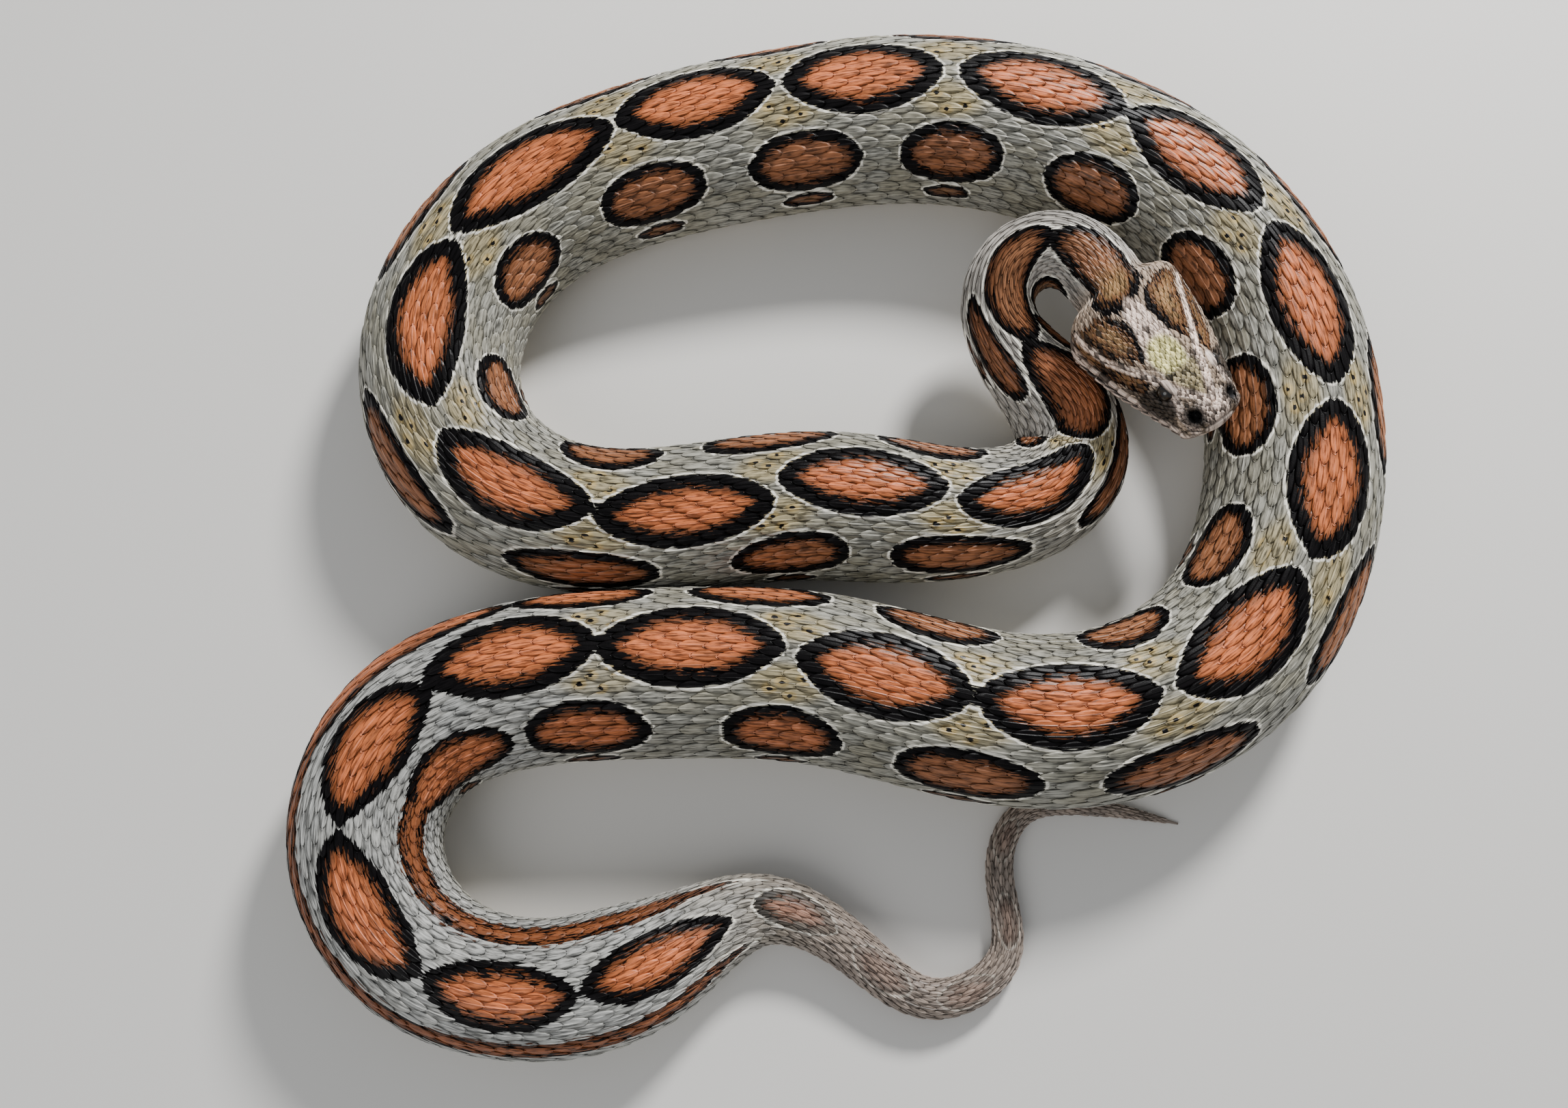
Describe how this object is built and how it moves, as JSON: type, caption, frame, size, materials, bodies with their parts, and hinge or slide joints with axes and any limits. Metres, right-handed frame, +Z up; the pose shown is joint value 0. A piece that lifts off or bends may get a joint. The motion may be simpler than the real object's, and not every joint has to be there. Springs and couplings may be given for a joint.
{
  "type": "russell's viper",
  "caption": "Life-size still model of a Russell's viper lying in loose coils, head raised over its own body, for display on a flat surface.",
  "frame": {"origin": "on the floor under the middle of the coils' bounding box", "axes": "+Z up; -Y towards the viewer's side, where the tail lies; +X to the side where the head is"},
  "size_m": [0.2898, 0.2839, 0.0471],
  "materials": {
    "scaled_skin": "satin keeled scales, grey-olive with black-edged orange-brown ovals",
    "head_scales": "satin small head scales, pinkish tan with brown patches",
    "eye": "wet gloss"
  },
  "bodies": {
    "root": {"head": "head_scales", "lower_jaw": "head_scales", "eye_right": "eye", "eye_left": "eye", "neck_1": "scaled_skin", "neck_2": "scaled_skin", "neck_3": "scaled_skin", "neck_4": "scaled_skin", "trunk_1": "scaled_skin", "trunk_2": "scaled_skin", "trunk_3": "scaled_skin", "trunk_4": "scaled_skin", "trunk_5": "scaled_skin", "trunk_6": "scaled_skin", "trunk_7": "scaled_skin", "trunk_8": "scaled_skin", "trunk_9": "scaled_skin", "trunk_10": "scaled_skin", "trunk_11": "scaled_skin", "trunk_12": "scaled_skin", "trunk_13": "scaled_skin", "tail_1": "scaled_skin", "tail_2": "scaled_skin", "tail_3": "scaled_skin", "tail_tip": "scaled_skin"}
  },
  "joints": []
}
